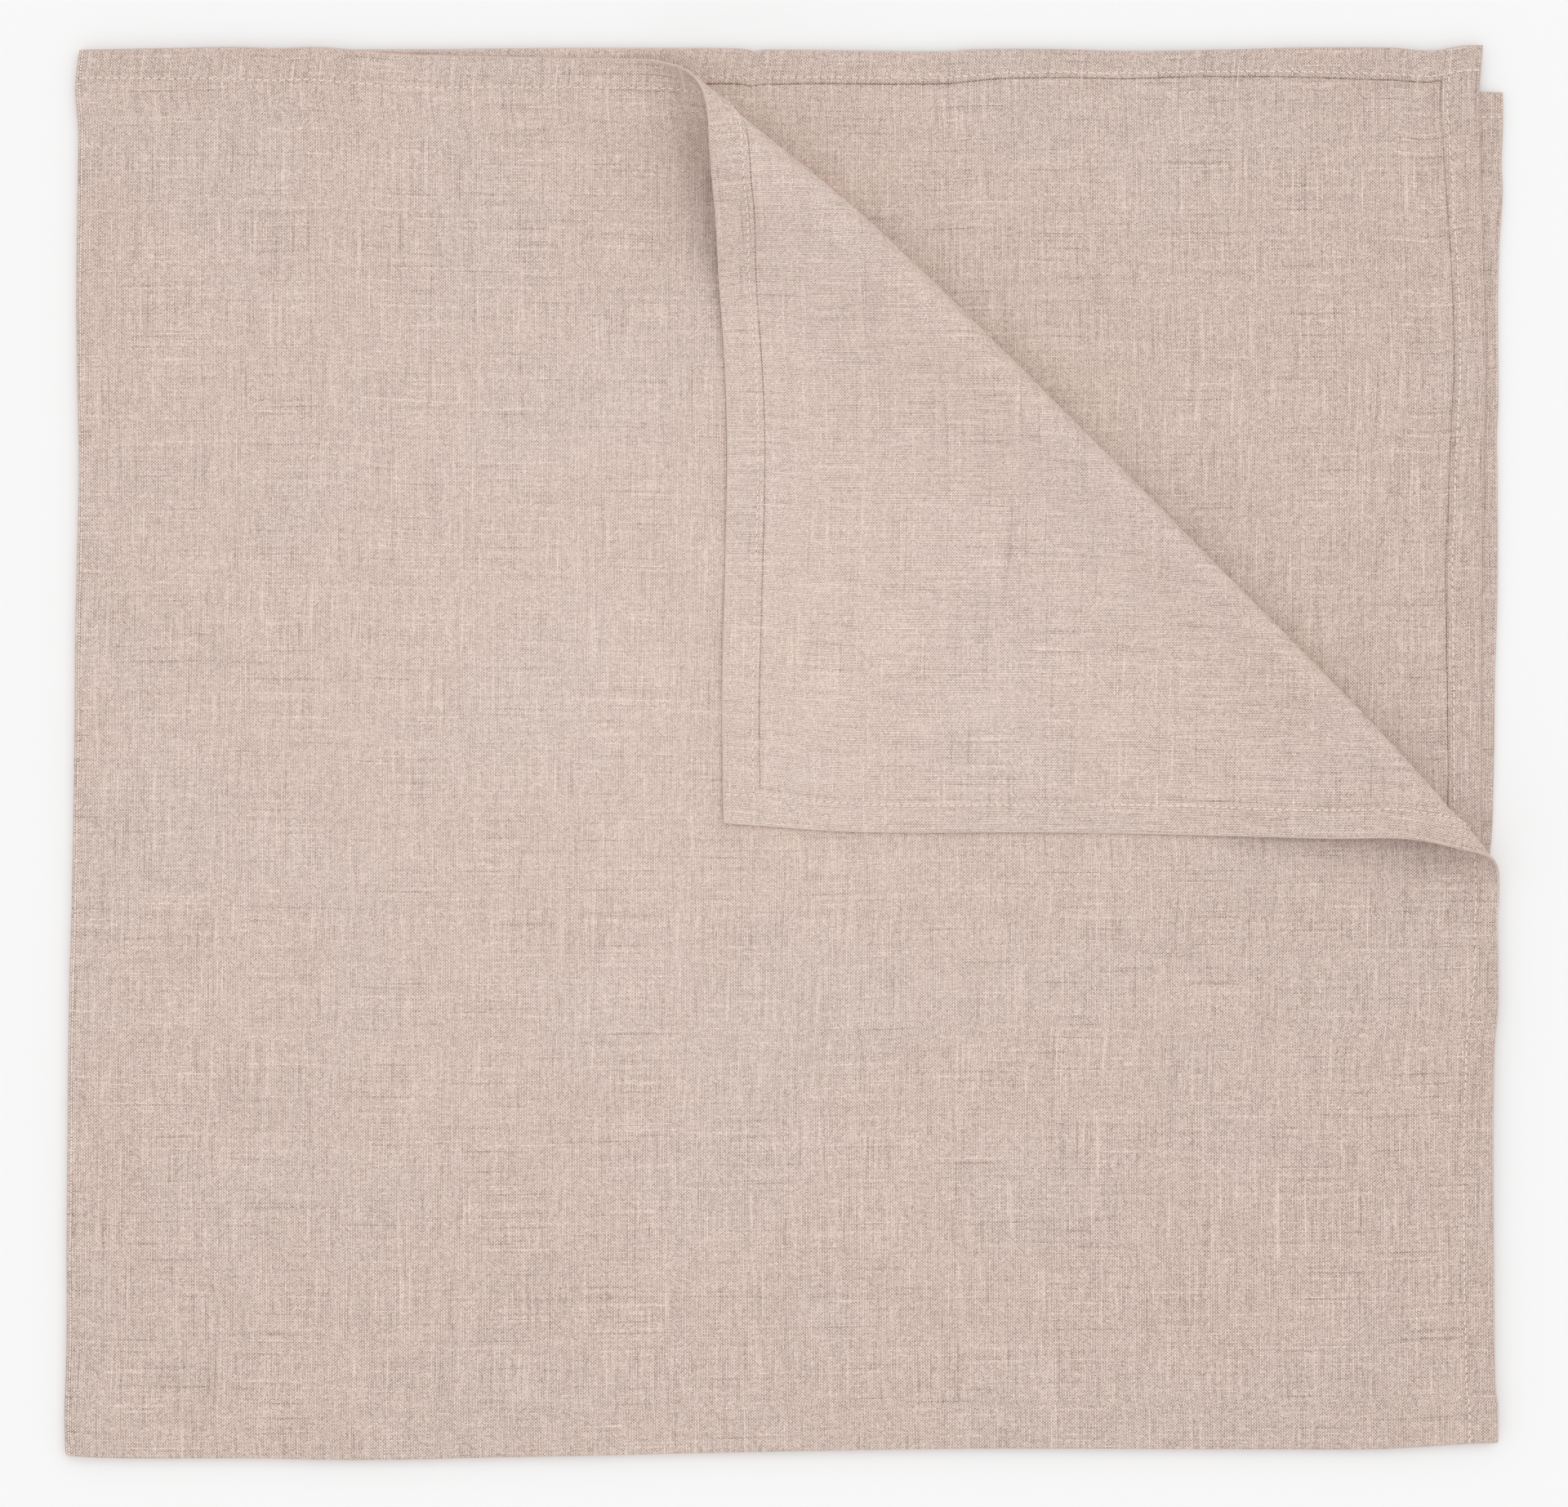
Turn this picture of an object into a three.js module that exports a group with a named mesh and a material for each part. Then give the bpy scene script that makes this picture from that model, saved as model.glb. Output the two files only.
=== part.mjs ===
// A square linen tablecloth, folded twice into quarters and laid flat, with the corner of its
// top layer turned back over a soft roll. One closed sheet: layers, folds, hems and turned corner.
// Millimetres, +Z up. The origin is under the middle of the folded cloth, on the surface it lies on.

import * as THREE from 'three';

// The cloth
const CLOTH_WIDTH = 1450; // hem to hem, across
const CLOTH_LENGTH = 1430; // hem to hem, up and down
const SHEET = 1.0; // thickness of the linen
const HEM_DEPTH = 19; // doubled edge on all four sides
const HEM_RISE = 0.3; // how far the doubled edge stands up on the wrong side
const HEM_STEP = 0.8; // width of the slope down from the hem to the single cloth

// The quarter fold
const LAYER_PITCH = 2.0; // from one layer's middle to the next
const HALF_WIDTH = CLOTH_WIDTH / 2; // left fold to right edge
const HALF_LENGTH = CLOTH_LENGTH / 2; // bottom fold to top edge
const STACK_MIDDLE = 1.5 * LAYER_PITCH + SHEET / 2; // height of the left fold's middle

// The turned corner
const TURN_DEPTH = 293.3; // square corner of the top layer to the nose of the roll
const TURN_HALF_LENGTH = 300; // half the length of the roll, hem to hem
const SETTLE_RATIO = 1.5; // length of cloth that sinks back down, for a roll length of 1
const ROLL_STEP = THREE.MathUtils.degToRad(23); // turn from one line of points to the next
const SETTLE_STEPS = 4;
const SECTION_SAMPLES = 600;
const SOLVE_STEPS = 40;

// The mesh
const CELL = 52; // widest spacing of the points on the layers that show
const HIDDEN_CELL = 105; // the same below them
const LEFT_FOLD_STEPS = 6;
const BOTTOM_FOLD_STEPS = 4;
const NEAR_LINE = 3; // a point this close to a line of the roll is taken as on it
const NUDGE = 0.02; // step for the slopes of the surface

const LINEN = { color: 0xcfbcb2, roughness: 0.92, metalness: 0 };

// How far each edge stands outside the true rectangle, at places along it.
// Top and bottom are measured from the left fold, left and right from the bottom fold.
const LEFT_FOLD = [
  { at: 0, out: 3.2 },
  { at: 50, out: 2.8 },
  { at: 125, out: 2.5 },
  { at: 240, out: 1.2 },
  { at: 366, out: -1.4 },
  { at: 500, out: -3.6 },
  { at: 587, out: -2.3 },
  { at: 670, out: -3.3 },
  { at: 695, out: -1.7 },
  { at: 715, out: -3.7 },
];
const BOTTOM_FOLD = [
  { at: 0, out: 0.8 },
  { at: 40, out: 2.1 },
  { at: 150, out: 2.9 },
  { at: 215, out: 1.7 },
  { at: 317, out: -0.6 },
  { at: 463, out: -2.9 },
  { at: 671, out: -2.7 },
  { at: 725, out: -5.8 },
];
const LOWER_BOTTOM_FOLD = [
  { at: 0, out: 0.8 },
  { at: 150, out: 1.2 },
  { at: 463, out: -6 },
  { at: 725, out: -9 },
];
const FIRST_TOP = [
  { at: 0, out: 0.8 },
  { at: 60, out: 2.0 },
  { at: 125, out: 2.3 },
  { at: 165, out: -1.0 },
  { at: 240, out: -3.0 },
  { at: 292, out: -4.2 },
  { at: 350, out: -7.4 },
  { at: 400, out: -4.8 },
  { at: 450, out: -1.4 },
  { at: 530, out: -1.8 },
  { at: 660, out: 0.4 },
  { at: 725, out: -1.5 },
];
const FIRST_RIGHT = [
  { at: 0, out: 1.7 },
  { at: 30, out: 0.3 },
  { at: 160, out: -0.8 },
  { at: 225, out: 1.6 },
  { at: 305, out: 1.5 },
  { at: 350, out: -2.2 },
  { at: 400, out: 0.4 },
  { at: 550, out: 0.5 },
  { at: 650, out: 1.8 },
  { at: 715, out: -1.4 },
];
const SECOND_TOP = [
  { at: 0, out: 0.8 },
  { at: 163, out: 1.2 },
  { at: 275, out: 1.9 },
  { at: 348, out: 0.4 },
  { at: 437, out: 0.2 },
  { at: 480, out: 1.2 },
  { at: 542, out: 0.2 },
  { at: 655, out: 1.9 },
  { at: 698, out: 0.4 },
  { at: 725, out: 2.9 },
];
const SECOND_RIGHT = [
  { at: 0, out: 1.7 },
  { at: 100, out: -6 },
  { at: 310, out: -7.2 },
  { at: 470, out: -6.2 },
  { at: 549, out: -4.3 },
  { at: 617, out: -6.4 },
  { at: 694, out: -7.5 },
  { at: 715, out: -6.2 },
];
const THIRD_TOP = [
  { at: 0, out: 0.8 },
  { at: 360, out: -9.5 },
  { at: 725, out: -20.8 },
];
const THIRD_RIGHT = [
  { at: 0, out: -4 },
  { at: 305, out: -2.5 },
  { at: 366, out: 0 },
  { at: 440, out: 1.5 },
  { at: 600, out: 1.9 },
  { at: 663, out: 4.4 },
  { at: 715, out: 4.4 },
];
const FOURTH_TOP = [
  { at: 0, out: 0.8 },
  { at: 360, out: -11 },
  { at: 725, out: -23 },
];
const FOURTH_RIGHT = [
  { at: 0, out: -4 },
  { at: 715, out: -8 },
];

// Layers from the top down: the free edges of each, and the bottom fold that it hangs from.
const LAYERS = {
  first: { top: FIRST_TOP, right: FIRST_RIGHT, bottom: BOTTOM_FOLD },
  second: { top: SECOND_TOP, right: SECOND_RIGHT, bottom: BOTTOM_FOLD },
  third: { top: THIRD_TOP, right: THIRD_RIGHT, bottom: LOWER_BOTTOM_FOLD },
  fourth: { top: FOURTH_TOP, right: FOURTH_RIGHT, bottom: LOWER_BOTTOM_FOLD },
};

// The roll from its upper left end: how far its nose bows out, and how high its crest stands.
const ROLL = [
  { at: 0, bow: -8, crest: 34 },
  { at: 55, bow: -2.6, crest: 31 },
  { at: 130, bow: 5.2, crest: 26 },
  { at: 230, bow: 7.5, crest: 22 },
  { at: 380, bow: 7.5, crest: 15 },
  { at: 500, bow: 6.5, crest: 12 },
  { at: 560, bow: 3, crest: 14 },
  { at: 600, bow: -0.8, crest: 15 },
];

// A smooth curve through one column of a table: a cubic between rows, its slope at each row
// taken from the rows on both sides.
function along(table, column, at) {
  const last = table.length - 1;
  const place = THREE.MathUtils.clamp(at, table[0].at, table[last].at);
  let i = 0;
  while (i < last - 1 && place > table[i + 1].at) i += 1;
  const slope = (j) => {
    const before = table[Math.max(j - 1, 0)];
    const after = table[Math.min(j + 1, last)];
    return (after[column] - before[column]) / (after.at - before.at);
  };
  const span = table[i + 1].at - table[i].at;
  const f = (place - table[i].at) / span;
  const rise = table[i + 1][column] - table[i][column];
  const ease = f * f * (3 - 2 * f);
  const leave = f * (1 - f) * (1 - f) * span * slope(i);
  const arrive = f * f * (1 - f) * span * slope(i + 1);
  return table[i][column] + rise * ease + leave - arrive;
}

const smooth = (f) => THREE.MathUtils.smoothstep(f, 0, 1);

// The section across the turned corner, for a crest of 1: the cloth leaves the layer below,
// rolls through half a turn and a little more, and sinks until it lies flat on that layer.
// Each sample has the length of cloth used, how far out and how high it is, and its angle. The
// little more is found by halving, so that the cloth ends at the height where it began.
function turnedSection() {
  const step = (1 + SETTLE_RATIO) / SECTION_SAMPLES;
  const walk = (extra) => {
    const samples = [{ used: 0, out: 0, up: 0, angle: 0 }];
    for (let i = 1; i <= SECTION_SAMPLES; i += 1) {
      const middle = (i - 0.5) * step;
      const angle = (Math.PI + extra) * smooth(middle) - extra * smooth((middle - 1) / SETTLE_RATIO);
      const before = samples[i - 1];
      samples.push({
        used: i * step,
        out: before.out + step * Math.cos(angle),
        up: before.up + step * Math.sin(angle),
        angle,
      });
    }
    return samples;
  };
  let low = 0;
  let high = Math.PI / 2;
  for (let i = 0; i < SOLVE_STEPS; i += 1) {
    const extra = (low + high) / 2;
    const end = walk(extra).at(-1);
    if (end.up > 0) low = extra;
    else high = extra;
  }
  const samples = walk(low);
  const crest = Math.max(...samples.map((sample) => sample.up));
  return samples.map(({ used, out, up, angle }) => ({
    at: used / crest,
    out: out / crest,
    up: up / crest,
    angle,
  }));
}

const SECTION = turnedSection();
const SECTION_END = SECTION.at(-1);
const NOSE = Math.max(...SECTION.map((sample) => sample.out));
const ROLL_LENGTH = SECTION_END.at / (1 + SETTLE_RATIO);

function sectionAt(at) {
  const place = (at / SECTION_END.at) * (SECTION.length - 1);
  const i = Math.min(Math.floor(place), SECTION.length - 2);
  const mix = (column) => THREE.MathUtils.lerp(SECTION[i][column], SECTION[i + 1][column], place - i);
  return { out: mix('out'), up: mix('up') };
}

// Across the top layer's corner: how far a point is along the roll, and how much cloth lies
// between it and the line where the cloth leaves the layer below, in crest heights.
function turnAt(x, y) {
  const toRight = x - HALF_WIDTH / 2;
  const toTop = y - HALF_LENGTH / 2;
  const alongRoll = (toRight - toTop) * Math.SQRT1_2;
  const out = (toRight + toTop) * Math.SQRT1_2;
  const crest = along(ROLL, 'crest', alongRoll + TURN_HALF_LENGTH);
  const nose = along(ROLL, 'bow', alongRoll + TURN_HALF_LENGTH) - TURN_DEPTH;
  const start = nose - NOSE * crest;
  return { alongRoll, crest, start, used: (out - start) / crest };
}

function turned(point) {
  const { alongRoll, crest, start, used } = turnAt(point.x, point.y);
  if (used <= 0) return point;
  const rest = Math.max(used - SECTION_END.at, 0);
  const { out, up } = sectionAt(used - rest);
  const reach = start + crest * (out - rest);
  return new THREE.Vector3(
    HALF_WIDTH / 2 + (reach + alongRoll) * Math.SQRT1_2,
    HALF_LENGTH / 2 + (reach - alongRoll) * Math.SQRT1_2,
    point.z + crest * up + LAYER_PITCH * smooth(used / ROLL_LENGTH),
  );
}

// Where a point of the flat cloth lies once it is folded. s runs across the cloth from the
// right edge of the upper half, over the left fold, to the right edge of the lower half;
// r runs from the top edge of the outer half, over the bottom fold, to that of the inner half.
function place(s, r) {
  const upper = s < HALF_WIDTH;
  const outer = r < HALF_LENGTH;
  const layer = LAYERS[upper ? (outer ? 'first' : 'second') : outer ? 'fourth' : 'third'];
  const fromRight = upper ? s : CLOTH_WIDTH - s;
  const fromTop = outer ? r : CLOTH_LENGTH - r;

  // The bottom fold: a half circle between two layers one pitch apart.
  const bendBefore = HALF_LENGTH - (Math.PI * LAYER_PITCH) / 4;
  const bendTurn = (r - bendBefore) / (LAYER_PITCH / 2);
  let level = outer ? LAYER_PITCH / 2 : -LAYER_PITCH / 2;
  let down = fromTop;
  if (bendTurn > 0 && bendTurn < Math.PI) {
    level = (LAYER_PITCH / 2) * Math.cos(bendTurn);
    down = bendBefore + (LAYER_PITCH / 2) * Math.sin(bendTurn);
  }

  // The left fold: the pair of layers carried round a half circle of one pitch.
  const foldBefore = HALF_WIDTH - (Math.PI * LAYER_PITCH) / 2;
  const foldTurn = THREE.MathUtils.clamp((s - foldBefore) / LAYER_PITCH, 0, Math.PI);
  const radius = LAYER_PITCH + level;
  const over = foldTurn > 0 && foldTurn < Math.PI ? foldBefore + radius * Math.sin(foldTurn) : fromRight;

  // The unevenness of the four sides, shared out across the layer.
  const shareRight = 1 - fromRight / HALF_WIDTH;
  const shareTop = 1 - fromTop / HALF_LENGTH;
  const fromBottom = HALF_LENGTH - fromTop;
  const fromLeft = HALF_WIDTH - fromRight;
  const shiftX =
    shareRight * along(layer.right, 'out', fromBottom) -
    (1 - shareRight) * along(LEFT_FOLD, 'out', fromBottom);
  const shiftY =
    shareTop * along(layer.top, 'out', fromLeft) -
    (1 - shareTop) * along(layer.bottom, 'out', fromLeft);

  const point = new THREE.Vector3(
    HALF_WIDTH / 2 - over + shiftX,
    HALF_LENGTH / 2 - down + shiftY,
    STACK_MIDDLE + radius * Math.cos(foldTurn),
  );
  return upper && outer ? turned(point) : point;
}

// The direction out of the cloth's right side, from the slopes of the folded surface.
function rightSide(s, r) {
  const across = place(s + NUDGE, r).sub(place(s - NUDGE, r));
  const upDown = place(s, r + NUDGE).sub(place(s, r - NUDGE));
  return across.cross(upDown).normalize();
}

// How far the doubled hem stands up at a point.
function hemAt(s, r) {
  const fromEdge = Math.min(s, CLOTH_WIDTH - s, r, CLOTH_LENGTH - r);
  return HEM_RISE * (1 - THREE.MathUtils.clamp((fromEdge - HEM_DEPTH) / HEM_STEP, 0, 1));
}

// Grid lines in one direction: both hems, even cells between them, and the fold in the middle.
function gridLines(length, foldLength, foldSteps, nearCell, farCell) {
  const hem = HEM_DEPTH + HEM_STEP;
  const foldStart = (length - foldLength) / 2;
  const lines = [0, HEM_DEPTH];
  const addEvenly = (from, to, count) => {
    for (let i = 0; i < count; i += 1) lines.push(from + ((to - from) * i) / count);
  };
  addEvenly(hem, foldStart, Math.ceil((foldStart - hem) / nearCell));
  addEvenly(foldStart, foldStart + foldLength, foldSteps);
  addEvenly(foldStart + foldLength, length - hem, Math.ceil((foldStart - hem) / farCell));
  return [...lines, length - hem, length - HEM_DEPTH, length];
}

// The flat cloth as a net of polygons in s and r.
function flatNet() {
  const acrossLines = gridLines(
    CLOTH_WIDTH, Math.PI * LAYER_PITCH, LEFT_FOLD_STEPS, CELL, HIDDEN_CELL,
  );
  const downLines = gridLines(
    CLOTH_LENGTH, (Math.PI * LAYER_PITCH) / 2, BOTTOM_FOLD_STEPS, CELL, CELL,
  );
  const rows = downLines.length;
  const points = acrossLines.flatMap((s) => downLines.map((r) => ({ s, r })));
  const polygons = [];
  for (let i = 0; i < acrossLines.length - 1; i += 1) {
    for (let j = 0; j < rows - 1; j += 1) {
      const corner = i * rows + j;
      polygons.push([corner, corner + rows, corner + rows + 1, corner + 1]);
    }
  }
  return { points, polygons };
}

// Lines of the roll, in crest heights of cloth: at even turns round the roll, then at even
// lengths down to where the flap lies flat.
function rollLines() {
  const lines = [];
  let angle = ROLL_STEP / 4;
  for (const sample of SECTION) {
    if (sample.at < ROLL_LENGTH && sample.angle >= angle) {
      lines.push(sample.at);
      angle += ROLL_STEP;
    }
  }
  for (let i = 0; i <= SETTLE_STEPS; i += 1) {
    lines.push(THREE.MathUtils.lerp(ROLL_LENGTH, SECTION_END.at, i / SETTLE_STEPS));
  }
  return lines;
}

// Cuts the net's polygons on the top layer along one line of the roll. A polygon falls into the
// part before the line and the part past it; a corner on the line belongs to both.
function cutNet(net, line) {
  const onFirst = ({ s, r }) => s < HALF_WIDTH - CELL / 2 && r < HALF_LENGTH - CELL / 2;
  const past = ({ s, r }) => {
    const { crest, used } = turnAt(HALF_WIDTH / 2 - s, HALF_LENGTH / 2 - r);
    return (used - line) * crest;
  };
  const gaps = net.points.map((point) => {
    const gap = past(point);
    return Math.abs(gap) < NEAR_LINE ? 0 : gap;
  });
  const crossings = new Map();
  const crossing = (a, b) => {
    const key = a < b ? `${a},${b}` : `${b},${a}`;
    if (!crossings.has(key)) {
      const [first, second] = a < b ? [a, b] : [b, a];
      const f = gaps[first] / (gaps[first] - gaps[second]);
      const mix = (column) =>
        THREE.MathUtils.lerp(net.points[first][column], net.points[second][column], f);
      net.points.push({ s: mix('s'), r: mix('r') });
      gaps.push(0);
      crossings.set(key, net.points.length - 1);
    }
    return crossings.get(key);
  };
  const polygons = [];
  for (const polygon of net.polygons) {
    const reaches = polygon.every((index) => onFirst(net.points[index]));
    const signs = polygon.map((index) => Math.sign(gaps[index]));
    if (!reaches || !signs.includes(1) || !signs.includes(-1)) {
      polygons.push(polygon);
      continue;
    }
    const count = polygon.length;
    const nearestSign = (i, step) => {
      let j = i;
      while (signs[j] === 0) j = (j + step + count) % count;
      return signs[j];
    };
    const sides = { '-1': [], 1: [] };
    polygon.forEach((index, i) => {
      const before = nearestSign(i, -1);
      const after = nearestSign(i, 1);
      const firstOnLine = signs[i] === 0 && signs[(i + count - 1) % count] !== 0;
      sides[after].push(index);
      if (before !== after && firstOnLine) sides[before].push(index);
      const next = (i + 1) % count;
      if (signs[i] * signs[next] < 0) {
        const cut = crossing(index, polygon[next]);
        sides[-1].push(cut);
        sides[1].push(cut);
      }
    });
    polygons.push(...Object.values(sides).filter((part) => part.length > 2));
  }
  return { points: net.points, polygons };
}

// Splits a polygon into triangles, each time across the shortest diagonal on the folded cloth.
function triangles(polygon, places) {
  if (polygon.length === 3) return [polygon];
  let best = { length: Infinity, ear: 0 };
  const count = polygon.length;
  for (let ear = 0; ear < count; ear += 1) {
    const before = places[polygon[(ear + count - 1) % count]];
    const after = places[polygon[(ear + 1) % count]];
    const length = before.distanceTo(after);
    if (length < best.length) best = { length, ear };
  }
  const cut = [best.ear + count - 1, best.ear, best.ear + 1].map((i) => polygon[i % count]);
  const rest = polygon.filter((_, i) => i !== best.ear);
  return [cut, ...triangles(rest, places)];
}

// The closed sheet: its right side, its wrong side with the hems standing up, and its edges.
function sheetGeometry() {
  const net = rollLines().reduce(cutNet, flatNet());
  const middles = net.points.map(({ s, r }) => place(s, r));
  const normals = net.points.map(({ s, r }) => rightSide(s, r));
  const count = net.points.length;
  const position = [
    ...middles.map((middle, i) => middle.clone().addScaledVector(normals[i], SHEET / 2)),
    ...middles.map((middle, i) => {
      const { s, r } = net.points[i];
      return middle.clone().addScaledVector(normals[i], -SHEET / 2 - hemAt(s, r));
    }),
  ].flatMap((point) => point.toArray());

  const index = [];
  const edges = new Set();
  for (const [a, b, c] of net.polygons.flatMap((polygon) => triangles(polygon, middles))) {
    index.push(a, b, c, a + count, c + count, b + count);
    for (const [from, to] of [[a, b], [b, c], [c, a]]) {
      if (!edges.delete(`${to},${from}`)) edges.add(`${from},${to}`);
    }
  }
  for (const edge of edges) {
    const [from, to] = edge.split(',').map(Number);
    index.push(to, from, from + count, to, from + count, to + count);
  }

  const geometry = new THREE.BufferGeometry();
  geometry.setAttribute('position', new THREE.Float32BufferAttribute(position, 3));
  geometry.setIndex(index);
  return geometry;
}

function tablecloth() {
  const geometry = sheetGeometry();
  geometry.computeBoundingBox();
  const { min, max } = geometry.boundingBox;
  geometry.translate(-(min.x + max.x) / 2, -(min.y + max.y) / 2, -min.z);
  geometry.computeVertexNormals();
  const mesh = new THREE.Mesh(geometry, new THREE.MeshStandardMaterial(LINEN));
  mesh.name = 'tablecloth';
  return mesh;
}

const foldedTablecloth = new THREE.Group();
foldedTablecloth.add(tablecloth());

export default foldedTablecloth;
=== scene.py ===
"""A folded linen tablecloth: its thin cloth, its stitches, its finish and a plain studio.

Laid out as an add-on and run as a script. Sizes in the tables are millimetres; all else is
metres. The cloth is square, folded twice into quarters, with the corner of its top layer turned
back over a soft roll.
"""

from functools import partial, reduce

import bpy
import numpy as np
from bpy.props import FloatProperty, FloatVectorProperty, IntProperty, PointerProperty
from bpy.types import Operator, Panel, PropertyGroup
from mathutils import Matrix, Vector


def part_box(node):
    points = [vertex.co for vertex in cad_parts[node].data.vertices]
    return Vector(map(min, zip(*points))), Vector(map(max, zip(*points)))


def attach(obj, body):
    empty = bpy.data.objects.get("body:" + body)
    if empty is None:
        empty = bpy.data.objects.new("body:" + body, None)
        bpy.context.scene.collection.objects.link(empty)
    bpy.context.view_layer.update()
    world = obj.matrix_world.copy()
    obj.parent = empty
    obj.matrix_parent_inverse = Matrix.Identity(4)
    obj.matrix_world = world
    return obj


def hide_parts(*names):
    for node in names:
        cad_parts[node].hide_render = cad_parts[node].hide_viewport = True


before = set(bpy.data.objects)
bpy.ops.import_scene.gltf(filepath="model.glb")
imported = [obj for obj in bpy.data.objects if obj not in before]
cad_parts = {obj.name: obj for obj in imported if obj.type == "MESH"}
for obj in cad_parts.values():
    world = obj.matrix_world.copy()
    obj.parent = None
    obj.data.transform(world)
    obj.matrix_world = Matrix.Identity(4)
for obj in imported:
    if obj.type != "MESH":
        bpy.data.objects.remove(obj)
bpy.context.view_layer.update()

bl_info = {
    "name": "Folded tablecloth",
    "version": (1, 0, 0),
    "blender": (4, 5, 0),
    "location": "3D View > Sidebar > Tablecloth",
    "description": "Lays a hemmed linen cloth in quarters with one corner turned back",
    "category": "Object",
}

NODE = "tablecloth"
CAD_LOW, CAD_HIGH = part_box(NODE)
MM = 0.001
PLACE = "cloth_place"

# The grid of the sheet: its lines in the hem, its cells in the turned corner and in the rest
# that shows, how far in the turned corner reaches, and the rings that close the edge.
HEM_LINES = np.array([0.55, 1.8, 5.5, 9.7, 13.9]) * MM
TURNED_CELL = 4 * MM
OPEN_CELL = 6.5 * MM
TURNED_REACH = 420 * MM
RIM_TURNS = np.radians([45, 90, 135])

# One stitch's rings: where they stand along it, their radius and their lift, all as shares.
STITCH_SIDES = 6
RING_AT = np.array([-0.5, -0.3, 0.3, 0.5])
RING_RADIUS = np.array([0.6, 1, 1, 0.6])
RING_LIFT = np.array([-1.6, 1, 1, -1.6])

# How unevenly the stitches are sewn: the least and the most share of their length, lift and
# radius, and the spread of their slant and of their place beside the seam.
STITCH_SEED = 5
STITCH_LENGTHS = (0.9, 1.08)
STITCH_LIFTS = (0.8, 1.2)
STITCH_RADII = (0.9, 1.1)
SLANT_SPREAD = 0.1 * MM
BESIDE_SPREAD = 0.08 * MM


def table(columns, *rows):
    """A short table as {column: values}, its rows in millimetres."""
    return {name: np.array(values, float) * MM for name, values in zip(columns.split(), zip(*rows))}


# How far each edge stands outside the true rectangle. Top and bottom edges are measured from the
# left fold, left and right ones from the bottom fold.
LEFT_FOLD = table(
    "at out",
    (0, 3.2), (22.5, 3.7), (50, 2.8), (125, 2.5), (241, 1.2), (283, 0), (366, -1.4),
    (416, -1.7), (462, -2.8), (499, -3.6), (556, -2.7), (587, -2.3), (658, -3.2), (676, -3.3),
    (695, -1.7), (715, -3.7),
)
BOTTOM_FOLD = table(
    "at out",
    (0, 1.2), (16, 2.1), (36.6, 2.5), (96.6, 2.5), (150.7, 3.3), (213, 2.1), (277, 0.8),
    (317, -0.2), (388, -1.5), (463, -2.5), (646, -2.1), (671, -2.5), (710, -5), (725, -5.4),
)
LOWER_BOTTOM_FOLD = table("at out", (0, 1.2), (150, 1.6), (463, -5.6), (725, -8.6))
FIRST_TOP = table(
    "at out",
    (0, 0.8), (46.6, 1.7), (80, 2.3), (101, 1.7), (121.5, 2.3), (142, 0.8), (166, -1.2),
    (213, -2.5), (255, -3.3), (292, -4.2), (350, -7.4), (400, -4.8), (450, -1.4), (530, -1.8),
    (660, 0.4), (725, -1.5),
)
FIRST_RIGHT = table(
    "at out",
    (0, 1.7), (21, 1.5), (29, 0.3), (91.6, -0.4), (158, -0.8), (207, 0), (222.7, 1.6),
    (254, 1.6), (268, 1.1), (282, 1.9), (305, 1.5), (350, -2.2), (400, 0.4), (550, 0.5),
    (650, 1.8), (715, -1.4),
)
SECOND_TOP = table(
    "at out",
    (0, 0.8), (163, 1.2), (255, 1.9), (292, 1.9), (343.5, 1.5), (348, 0), (352.5, 1),
    (425, 0.2), (450, 0.2), (463, 1.2), (504, 1.2), (542, 0.2), (588, 0.8), (629, 1.9),
    (679, 1.9), (698, 0.4), (717.5, 2.9), (725, 2.9),
)
SECOND_RIGHT = table(
    "at out",
    (0, 1.7), (100, -6), (310, -7.2), (374.6, -7.1), (426.6, -6.7), (469, -6.2), (508, -5.8),
    (532.7, -5), (549, -4.3), (568, -4.7), (617, -6.4), (663, -7.1), (694, -7.5), (715, -6.2),
)
THIRD_TOP = table("at out", (0, 0.8), (360, -9.5), (725, -20.8))
THIRD_RIGHT = table(
    "at out",
    (0, -4), (305, -2.5), (317, -1.4), (330, -0.8), (366, 0), (405, 0.4), (426.6, 1.1),
    (453, 1.7), (511, 1.7), (533, 1.4), (549, 2.1), (602.6, 1.9), (632, 2.5), (663, 4.4),
    (676, 3.7), (694, 4.4), (715, 4.4),
)
FOURTH_TOP = table("at out", (0, 0.8), (360, -11), (725, -23))
FOURTH_RIGHT = table("at out", (0, -4), (715, -8))
TOPS = (FIRST_TOP, SECOND_TOP, THIRD_TOP, FOURTH_TOP)
RIGHTS = (FIRST_RIGHT, SECOND_RIGHT, THIRD_RIGHT, FOURTH_RIGHT)

# The roll from its upper left end: how far its nose bows out, and how high its crest stands.
ROLL = table(
    "at bow crest",
    (0, -8, 34), (55, -2.6, 31), (130, 5.2, 26), (230, 7.5, 22), (380, 7.5, 15), (500, 6.5, 12),
    (560, 3, 14), (600, -0.8, 15),
)

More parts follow.
